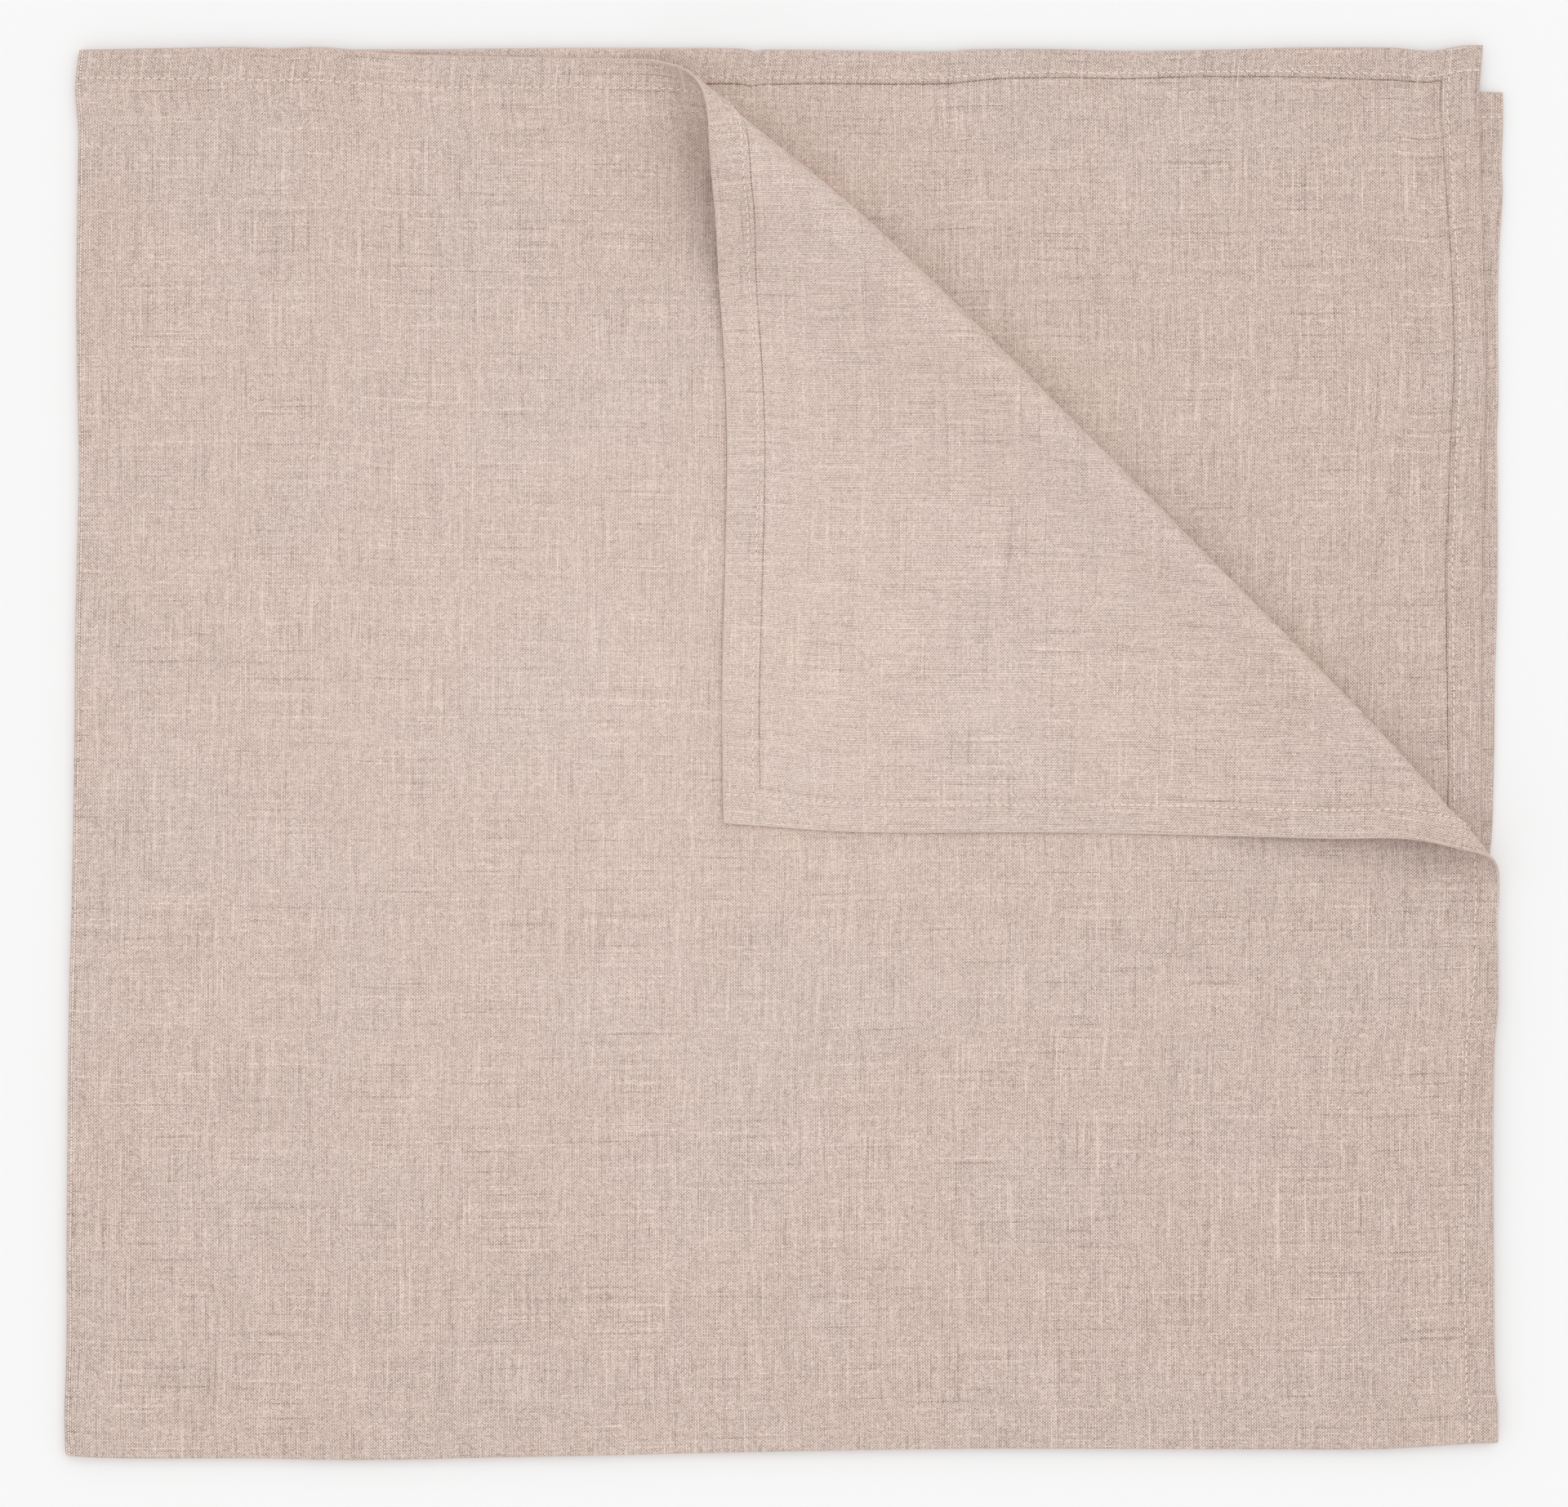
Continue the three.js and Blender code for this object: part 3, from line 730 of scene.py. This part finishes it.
def stitch_mesh(cloth, sizes):
    """All stitches of the hem as one mesh. Each is a short thread of four rings that rises out
    of the linen and dips back into it, on both sides of the cloth and along all four edges.
    Under the lowest layer the thread is pressed in level with the linen."""
    draw = np.random.default_rng(STITCH_SEED)
    inset = cloth.HEM_NOMINAL - cloth.past_stitches
    turns = np.arange(STITCH_SIDES) * 2 * np.pi / STITCH_SIDES
    points, triangles, made = [], [], 0
    for right_side in (True, False):
        for edge in range(4):
            along_u = edge % 2 == 0
            reach = cloth.width if along_u else cloth.length
            other = inset if edge < 2 else (cloth.length if along_u else cloth.width) - inset
            count = int(reach / sizes.pitch)
            middle = (np.arange(count) + 0.5) * reach / count
            length = sizes.length * draw.uniform(*STITCH_LENGTHS, count)
            tilt = draw.normal(sizes.slant, SLANT_SPREAD, (count, 1))
            skew = draw.normal(0, BESIDE_SPREAD, (count, 1)) + tilt * RING_AT
            at = middle[:, None] + RING_AT * length[:, None]
            beside = other + skew
            u, v = (at, beside) if along_u else (beside, at)
            lift = sizes.lift * RING_LIFT * draw.uniform(*STITCH_LIFTS, (count, 1))
            underneath = right_side & (u > cloth.half_width) & (v < cloth.half_length)
            lift = np.where(underneath, -sizes.radius, lift)
            centre, across, down, normal = cloth.skin(u, v, right_side, lift)
            side = unit(np.cross(normal, across if along_u else down))
            radius = sizes.radius * RING_RADIUS * draw.uniform(*STITCH_RADII, (count, 1))
            rings = [
                centre + (side * np.cos(turn) + normal * np.sin(turn)) * per_point(radius)
                for turn in turns
            ]
            rings = np.stack(rings, 2)
            number = made + np.arange(rings[..., 0].size).reshape(rings.shape[:3])
            made += number.size
            points.append(rings.reshape(-1, 3))
            triangles += stitch_faces(number)
    points = np.concatenate(points)
    return points, outward_faces(points, np.concatenate(triangles))


def stitch_faces(number):
    """Triangles of a row of stitches from their points' numbers by stitch, ring and side: round
    the thread between its rings, and a fan over each end."""
    a, b = number[:, :-1], number[:, 1:]
    a_next, b_next = np.roll(a, -1, 2), np.roll(b, -1, 2)
    first, last = number[:, 0], number[:, -1]
    faces = [np.stack([a, a_next, b], -1), np.stack([a_next, b_next, b], -1)]
    for k in range(1, STITCH_SIDES - 1):
        faces += [first[:, [0, k, k + 1]], last[:, [0, k, k + 1]]]
    return [face.reshape(-1, 3) for face in faces]


def outward_faces(points, triangles):
    """Turns the stitches' faces where their ring runs the other way round: a face looks out
    where it looks away from the middle of its stitch."""
    size = len(RING_AT) * STITCH_SIDES
    centre = points.reshape(-1, size, 3).mean(1)[triangles[:, 0] // size]
    a, b, c = (points[triangles[:, k]] for k in range(3))
    inward = ((np.cross(b - a, c - a)) * ((a + b + c) / 3 - centre)).sum(1) < 0
    triangles[inward] = triangles[inward][:, ::-1]
    return triangles


class Net:
    """Adds nodes to one material and joins them. Methods that work out a value return its
    output socket, or sockets."""

    def __init__(self, name):
        self.material = bpy.data.materials.new(name)
        self.material.use_nodes = True
        self.nodes = self.material.node_tree.nodes
        self.links = self.material.node_tree.links
        self.shader = self.nodes["Principled BSDF"]

    def feed(self, socket, value):
        """Joins a socket to an output, or gives it a constant."""
        if isinstance(value, bpy.types.NodeSocket):
            self.links.new(value, socket)
        else:
            socket.default_value = value

    def add(self, kind, *values, **settings):
        """A new node with its settings, its first sockets fed in order."""
        node = self.nodes.new("ShaderNode" + kind)
        for name, setting in settings.items():
            setattr(node, name, setting)
        for socket, value in zip(node.inputs, values):
            self.feed(socket, value)
        return node

    def math(self, operation, *values):
        """One operation on numbers."""
        return self.add("Math", *values, operation=operation).outputs[0]

    def total(self, *values):
        """The sum of all values."""
        return reduce(partial(self.math, "ADD"), values)

    def times(self, *values):
        """The product of all values."""
        return reduce(partial(self.math, "MULTIPLY"), values)

    def minus(self, value, other):
        """value less other."""
        return self.math("SUBTRACT", value, other)

    def line(self, value, factor, offset):
        """value times factor plus offset."""
        return self.math("MULTIPLY_ADD", value, factor, offset)

    def spread(self, value, low, high, to_low=0.0, to_high=1.0, step="LINEAR"):
        """value from low..high onto to_low..to_high, held at the ends."""
        ends = (low, high, to_low, to_high)
        return self.add("MapRange", value, *ends, interpolation_type=step).outputs[0]

    def bell(self, distance, half):
        """1 at distance 0, and softly down to 0 at half either side."""
        return self.spread(self.math("ABSOLUTE", distance), 0.0, half, 1.0, 0.0, "SMOOTHSTEP")

    def vector(self, x, y, z):
        """Three numbers as one vector."""
        return self.add("CombineXYZ", x, y, z).outputs[0]

    def parts(self, vector):
        """The three numbers of a vector."""
        return self.add("SeparateXYZ", vector).outputs

    def place(self):
        """Where each point of the object lies."""
        return self.add("TexCoord").outputs["Object"]

    def distance(self, place, centre):
        """How far a place lies from a fixed centre."""
        return self.add("VectorMath", place, centre, operation="DISTANCE").outputs["Value"]

    def noise(self, vector, scale=1.0, detail=2.0):
        """Cloudy noise about 0, mostly within -0.25 to 0.25."""
        node = self.add("TexNoise", vector)
        self.feed(node.inputs["Scale"], scale)
        self.feed(node.inputs["Detail"], detail)
        return self.minus(node.outputs[0], 0.5)

    def speck(self, vector):
        """Even chance about 0, from -0.5 to 0.5, of its own at each whole place."""
        return self.minus(self.add("TexWhiteNoise", vector, noise_dimensions="3D").outputs[0], 0.5)

    def mix(self, factor, first, second, blend="MIX"):
        """The first colour at factor 0, the second, or the first blended with it, at 1."""
        node = self.add("Mix", data_type="RGBA", blend_type=blend)
        self.feed(node.inputs["Factor"], factor)
        self.feed(node.inputs["A"], first)
        self.feed(node.inputs["B"], second)
        return next(socket for socket in node.outputs if socket.type == "RGBA")

    def bump(self, height, distance=1.0):
        """Joins a height to the shader's normal. Returns nothing."""
        node = self.add("Bump")
        self.feed(node.inputs["Distance"], distance)
        self.feed(node.inputs["Height"], height)
        self.feed(self.shader.inputs["Normal"], node.outputs["Normal"])

    def surface(self, color, roughness, specular):
        """Feeds the shader its colour, roughness and shine. Returns nothing."""
        self.feed(self.shader.inputs["Base Color"], color)
        self.feed(self.shader.inputs["Roughness"], roughness)
        self.feed(self.shader.inputs["Specular IOR Level"], specular)


def opaque(color, share=1.0):
    """A colour, or a darker share of it, as a socket takes it."""
    return (*(share * part for part in color), 1)


def yarns(net, number, count, run, cross, seed, slubs, bright, dark):
    """One family of yarns: its tone, its slubs, the round of its back, and its way over and
    under the other family. Tone and width change along the run, and here and there a slub stands
    out. The back is 1 in the middle and falls with the square of the distance over the half
    width. The way is a sine over the crossings, turned over for every second yarn."""
    lane = net.times(net.speck(net.vector(number, seed, 0.0)), LANES_APART)
    long_slub = net.noise(net.vector(lane, net.times(run, slubs), seed), detail=1.0)
    short_run = net.times(run, SHORT_SLUBS)
    short_slub = net.noise(net.vector(lane, short_run, seed + SHORT_SEED), detail=1.0)
    thick = net.spread(long_slub, *THICK)
    slub = net.total(net.times(thick, bright), net.spread(long_slub, *THIN, -dark, 0.0))
    slub = net.line(long_slub, SLUB_TONE, slub)
    tone = net.line(long_slub, LONG_TONE, net.times(short_slub, SHORT_TONE))
    half = net.line(net.total(long_slub, short_slub), YARN_SWELL, YARN_HALF)
    off = net.minus(net.minus(count, number), 0.5)
    square = net.math("POWER", net.math("DIVIDE", off, half), 2.0)
    over = net.math("SINE", net.times(cross, np.pi))
    parity = net.line(net.math("MODULO", number, 2.0), -2.0, 1.0)
    body = net.minus(net.line(thick, THICK_RISE, 1.0), square)
    return tone, slub, body, net.times(over, parity)


def weave(net, finish, s, r):
    """Height and tone of the plain weave: of the two families of yarns the higher one shows, the
    warps a little lighter than the wefts. Both sway, each crossing has its own tone, and painted
    shade darkens the gaps between the yarns."""
    warp_sway, weft_sway = (
        net.noise(net.vector(net.times(s, SWAYS), net.times(r, SWAYS), seed), detail=1.0)
        for seed in SWAY_SEEDS
    )
    warps = net.total(warp_sway, net.math("DIVIDE", s, finish.warp_pitch))
    wefts = net.total(weft_sway, net.math("DIVIDE", r, finish.weft_pitch))
    warp, weft = net.math("FLOOR", warps), net.math("FLOOR", wefts)
    warp_tone, warp_slub, warp_body, warp_over = yarns(net, warp, warps, r, wefts, **WARPS)
    weft_tone, weft_slub, weft_body, weft_over = yarns(net, weft, wefts, s, warps, **WEFTS)
    warp_height = net.line(warp_over, CROSSING_RISE, warp_body)
    weft_height = net.line(weft_over, -CROSSING_RISE, weft_body)
    on_top = net.math("GREATER_THAN", warp_height, weft_height)
    family = net.speck(net.vector(warp, weft, FAMILY_SEED))
    contrast = net.line(family, FAMILIES_SPREAD, FAMILIES_APART)
    warp_tone = net.total(warp_tone, contrast)
    weft_tone = net.minus(weft_tone, contrast)
    tone = net.total(net.times(on_top, net.minus(warp_tone, weft_tone)), weft_tone)
    crossing = net.speck(net.vector(warp, weft, TONE_SEED))
    tone = net.line(crossing, CROSSING_TONE, tone)
    height = net.math("MAXIMUM", warp_height, weft_height)
    # Painted shade in the gaps between the yarns.
    corner = net.vector(net.math("ROUND", warps), net.math("ROUND", wefts), GAP_SEED)
    depth = net.total(net.speck(corner), GAP_SHADE_DEPTH)
    gap = net.times(net.spread(height, *GAP_PAINTED_SHADE), depth)
    return height, net.total(net.minus(tone, gap), warp_slub, weft_slub)


def flecks(net, place, rows):
    """1 in the middle of each fleck and softly down to 0 at its rim, across and down."""
    x, y, _ = net.parts(place)
    marks = []
    for middle_x, middle_y, across, down in zip(*rows.values()):
        from_x = net.minus(x, float(middle_x))
        from_y = net.minus(y, float(middle_y))
        marks.append(net.times(net.bell(from_x, float(across)), net.bell(from_y, float(down))))
    return net.total(*marks)


def linen_light(net, flat_place, signed_edge, patches, off_rim, height, tone):
    """How light each point is: the weave's height, painted as shade, and its tone, patches, lint and
    flecks, with a painted pool of light and less by painted shade far from its middle, less at the
    rim and in the hem, and more on the wrong side by the turned corner."""
    table_place = net.place()
    from_painted_pool = net.distance(table_place, PAINTED_LIGHT_POOL_MIDDLE)
    patch = net.times(patches, PATCH_SHADE)
    lint = net.times(net.noise(flat_place, LINT, detail=1.0), LINT_SHADE)
    # Painted shade by the weave's height.
    light = net.spread(height, *HEIGHT_PAINTED_SHADE)
    light = net.line(tone, net.spread(from_painted_pool, *TONE_SHARE), light)
    light = net.total(light, patch, lint)
    light = net.line(flecks(net, table_place, DARK_FLECKS), -DARK_FLECK, light)
    light = net.line(flecks(net, table_place, LIGHT_FLECKS), LIGHT_FLECK, light)
    # Painted pool of light: lighter near its middle, painted shade further away.
    light = net.total(light, net.spread(from_painted_pool, *PAINTED_POOL_FALLOFF))
    light = net.total(light, net.line(off_rim, RIM_SHADE, -RIM_SHADE))
    in_hem = net.spread(net.math("ABSOLUTE", signed_edge), *IN_HEM)
    light = net.line(in_hem, -HEM_SHADE, light)
    wrong_side = net.math("LESS_THAN", signed_edge, 0.0)
    near_corner = net.spread(net.distance(flat_place, (0, 0, 0)), *CORNER_SHADE)
    return net.total(light, net.times(wrong_side, near_corner))


def nearest_edge(net, sizes, s, r):
    """1 where a side edge is nearer than an end one, and the place along the nearer edge."""
    side_edge = net.math("MINIMUM", s, net.minus(sizes.width, s))
    end_edge = net.math("MINIMUM", r, net.minus(sizes.length, r))
    on_side = net.math("LESS_THAN", side_edge, end_edge)
    return on_side, net.total(net.times(on_side, net.minus(r, s)), s)


def painted_crevice_shadow(net, r, signed_edge, patches, on_side):
    """How dark the painted shadow is in the crevice where the hem is turned in on the wrong side. It
    is strong along the ends, fainter along the sides, and patchy."""
    line = net.bell(net.total(signed_edge, TURNED_IN), CREVICE_SHADOW_HALF)
    side_strength = net.spread(r, *SIDE_STRENGTH)
    strength = net.total(net.times(on_side, net.total(side_strength, -1.0)), 1.0)
    strength = net.times(strength, net.spread(patches, *PATCHY_STRENGTH))
    return net.times(line, strength)


def even_pitch(reach, pitch):
    """The stitches' spacing once they share out one whole edge."""
    return reach / int(reach / pitch)


def needle_hole_painted_shade(net, stitches, sizes, edge, on_side, run):
    """Where painted shade darkens each needle hole between two stitches: 1 in the hole and softly
    down to 0 round it.
    """
    sewn = FoldedCloth.HEM_NOMINAL - sizes.past_stitches
    across_pitch = even_pitch(sizes.width, stitches.pitch)
    down_pitch = even_pitch(sizes.length, stitches.pitch)
    pitch = net.line(on_side, down_pitch - across_pitch, across_pitch)
    phase = net.math("FRACT", net.total(net.math("DIVIDE", run, pitch), 0.5))
    from_hole = net.times(net.total(phase, -0.5), stitches.pitch)
    beside_seam = net.total(edge, -sewn)
    return net.times(net.bell(from_hole, HOLE_ALONG), net.bell(beside_seam, HOLE_ACROSS))


def linen_relief(net, flat_place, edge, run, height, tone):
    """Height of the bump in metres: the weave and its tone, crumples over the whole cloth, and
    puckers across the hem, strongest beside its stitches."""
    near_stitches = net.bell(net.total(edge, -PUCKER_MIDDLE), PUCKER_REACH)
    slanting = net.line(edge, PUCKER_SLANT, net.times(run, PUCKERS_ALONG))
    across = net.times(edge, PUCKERS_ACROSS)
    gather = net.noise(net.vector(slanting, across, PUCKER_SEED), detail=1.0)
    crumple = net.noise(flat_place, CRUMPLES)
    return net.total(
        net.times(height, WEAVE_RISE),
        net.times(gather, near_stitches, PUCKER_RISE),
        net.times(crumple, CRUMPLE_RISE),
        net.times(tone, TONE_RISE),
    )


def linen_material(finish, stitches, sizes):
    """Plain-weave linen on the flat cloth's own place, with painted shade in the weave's gaps, a
    painted pool of light, painted shadow in the hem's turned-in crevice and in its needle holes, and
    the puckers of its hem.
    """
    net = Net("linen")
    s, r, signed_edge = net.parts(net.add("Attribute", attribute_name=PLACE).outputs["Vector"])
    edge = net.math("ABSOLUTE", signed_edge)
    height, tone = weave(net, finish, s, r)
    off_rim = net.spread(edge, *RIM)
    height = net.line(net.total(height, -RIM_HEIGHT), off_rim, RIM_HEIGHT)
    tone = net.times(tone, off_rim)

    flat_place = net.vector(s, r, 0.0)
    patches = net.noise(flat_place, PATCHES, detail=1.0)
    light = linen_light(net, flat_place, signed_edge, patches, off_rim, height, tone)
    on_side, run = nearest_edge(net, sizes, s, r)
    # Painted shadow in the crevice of the hem's inner fold.
    fold_shadow = painted_crevice_shadow(net, r, signed_edge, patches, on_side)
    light = net.minus(light, fold_shadow)
    # Painted shade in the needle holes.
    painted_hole_shade = needle_hole_painted_shade(net, stitches, sizes, edge, on_side, run)
    light = net.line(painted_hole_shade, -HOLE_SHADE, light)

    # From the gap's painted shade to the light yarn's colour.
    color = net.mix(light, opaque(finish.dark), opaque(finish.light))
    blush = net.noise(net.vector(s, r, BLUSH_SEED), BLUSHES, detail=1.0)
    warmth = net.mix(net.spread(blush, *BLUSH), opaque(COOL), opaque(WARM))
    color = net.mix(1.0, color, warmth, "MULTIPLY")
    net.surface(color, net.spread(height, *ROUGHNESS), specular=0.2)
    net.bump(linen_relief(net, flat_place, edge, run, height, tone))
    net.shader.inputs["Sheen Weight"].default_value = 0.06
    net.shader.inputs["Sheen Roughness"].default_value = 0.5
    return net.material


def thread_material(finish):
    """Sewing thread a shade lighter than the linen, with the twist of its plies."""
    net = Net("sewing_thread")
    place = net.place()
    plies = net.noise(place, scale=1600.0, detail=1.0)
    shade = net.noise(place, scale=60.0, detail=1.0)
    tone = net.total(net.times(plies, 0.5), net.times(shade, 0.4), 0.5)
    color = net.mix(tone, opaque(finish.sewing, THREAD_DARK), opaque(finish.sewing))
    net.surface(color, roughness=0.7, specular=0.3)
    net.bump(plies, distance=0.05 * MM)
    return net.material


def floor_material(stage):
    """Matt pale board with a trace of tooth."""
    net = Net("pale_board")
    tooth = net.noise(net.place(), scale=40.0, detail=3.0)
    dark, light = opaque(stage.floor, BOARD_DARK), opaque(stage.floor)
    color = net.mix(net.total(tooth, 0.5), dark, light)
    net.surface(color, roughness=0.95, specular=0.1)
    return net.material


class TABLECLOTH_OT_lay_cloth(Operator):
    """Lay the linen sheet in its folds, in place of its solid"""

    bl_idname = "tablecloth.lay_cloth"
    bl_label = "Lay the cloth"

    def execute(self, context):
        scene = context.scene
        cloth = FoldedCloth(scene.tablecloth_sizes)
        points, triangles, places = sheet_mesh(cloth)
        points = points + centring(points)
        material = linen_material(
            scene.tablecloth_finish, scene.tablecloth_stitches, scene.tablecloth_sizes
        )
        piece = add_mesh("linen_sheet", points, triangles, material, places)
        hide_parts(NODE)
        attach(piece, "root")
        return {"FINISHED"}


class TABLECLOTH_OT_sew_hems(Operator):
    bl_idname = "tablecloth.sew_hems"
    bl_label = "Sew the hems"

    def execute(self, context):
        scene = context.scene
        sheet = bpy.data.objects.get("linen_sheet")
        if sheet is None:
            raise RuntimeError("lay the cloth before sewing its hems")
        sizes = scene.tablecloth_sizes
        cloth = FoldedCloth(sizes)
        points, triangles = stitch_mesh(cloth, scene.tablecloth_stitches)
        points = points + centring(sheet_mesh(cloth)[0])
        material = thread_material(scene.tablecloth_finish)
        stitches = add_mesh("hem_stitches", points, triangles, material)
        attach(stitches, "root")
        return {"FINISHED"}


class TABLECLOTH_OT_set_stage(Operator):
    """Set the pale floor, the soft light and the camera straight above"""

    bl_idname = "tablecloth.set_stage"
    bl_label = "Set the stage"

    def execute(self, context):
        scene = context.scene
        stage = scene.tablecloth_stage
        add_floor(stage)
        add_lights(scene, stage)
        add_camera(scene, stage)
        scene.view_settings.view_transform = "Standard"
        return {"FINISHED"}


def add_floor(stage):
    """A level square just under the cloth."""
    half, below = 6.0, -0.05 * MM
    corners = [(-half, -half), (half, -half), (half, half), (-half, half)]
    points = np.array([(x, y, below) for x, y in corners])
    floor = add_mesh("floor", points, np.array([(0, 1, 2), (0, 2, 3)]), floor_material(stage))


def add_lights(scene, stage):
    """Even light from all round, and one wide soft light overhead, aimed at the cloth."""
    world = bpy.data.worlds.new("studio")
    world.use_nodes = True
    background = world.node_tree.nodes["Background"]
    background.inputs["Color"].default_value = (1.0, 1.0, 1.0, 1)
    background.inputs["Strength"].default_value = stage.sky
    scene.world = world
    lamp = bpy.data.lights.new("soft_box", "SUN")
    lamp.energy = stage.lamp
    lamp.angle = stage.lamp_width
    soft_box = bpy.data.objects.new("soft_box", lamp)
    scene.collection.objects.link(soft_box)
    soft_box.location = stage.lamp_place
    soft_box.rotation_euler = (-soft_box.location).to_track_quat("-Z", "Y").to_euler()


def add_camera(scene, stage):
    """A camera over the middle of the photograph, looking straight down."""
    data = bpy.data.cameras.new("camera")
    data.lens = stage.lens
    data.sensor_width = 36.0
    camera = bpy.data.objects.new("camera", data)
    scene.collection.objects.link(camera)
    pile = 6 * MM
    away = stage.width * stage.scale * data.lens / data.sensor_width
    camera.location = (
        (stage.width / 2 - stage.centre_x) * stage.scale,
        (stage.centre_y - stage.height / 2) * stage.scale,
        pile + away,
    )
    data.clip_end = 50.0
    scene.camera = camera


class TABLECLOTH_PT_panel(Panel):
    """The steps and sizes in the sidebar"""

    bl_label = "Folded tablecloth"
    bl_space_type = "VIEW_3D"
    bl_region_type = "UI"
    bl_category = "Tablecloth"

    def draw(self, context):
        layout = self.layout
        for step in STEPS:
            layout.operator(step.bl_idname)
        for group_name, group in GROUPS.items():
            for name in group.__annotations__:
                layout.prop(getattr(context.scene, group_name), name)


GROUPS = {
    "tablecloth_sizes": ClothSizes,
    "tablecloth_stitches": StitchSizes,
    "tablecloth_finish": LinenFinish,
    "tablecloth_stage": StageSettings,
}
STEPS = (TABLECLOTH_OT_set_stage, TABLECLOTH_OT_lay_cloth, TABLECLOTH_OT_sew_hems)
CLASSES = (*GROUPS.values(), *STEPS, TABLECLOTH_PT_panel)


def register():
    """Adds the classes, and each group of settings to the scene."""
    for cls in CLASSES:
        bpy.utils.register_class(cls)
    for name, group in GROUPS.items():
        setattr(bpy.types.Scene, name, PointerProperty(type=group))


def unregister():
    """Takes away what register added."""
    for name in GROUPS:
        delattr(bpy.types.Scene, name)
    for cls in reversed(CLASSES):
        bpy.utils.unregister_class(cls)


def main():
    register()
    bpy.ops.tablecloth.set_stage()
    bpy.ops.tablecloth.lay_cloth()
    bpy.ops.tablecloth.sew_hems()
    bpy.context.view_layer.update()


if __name__ == "__main__":
    main()
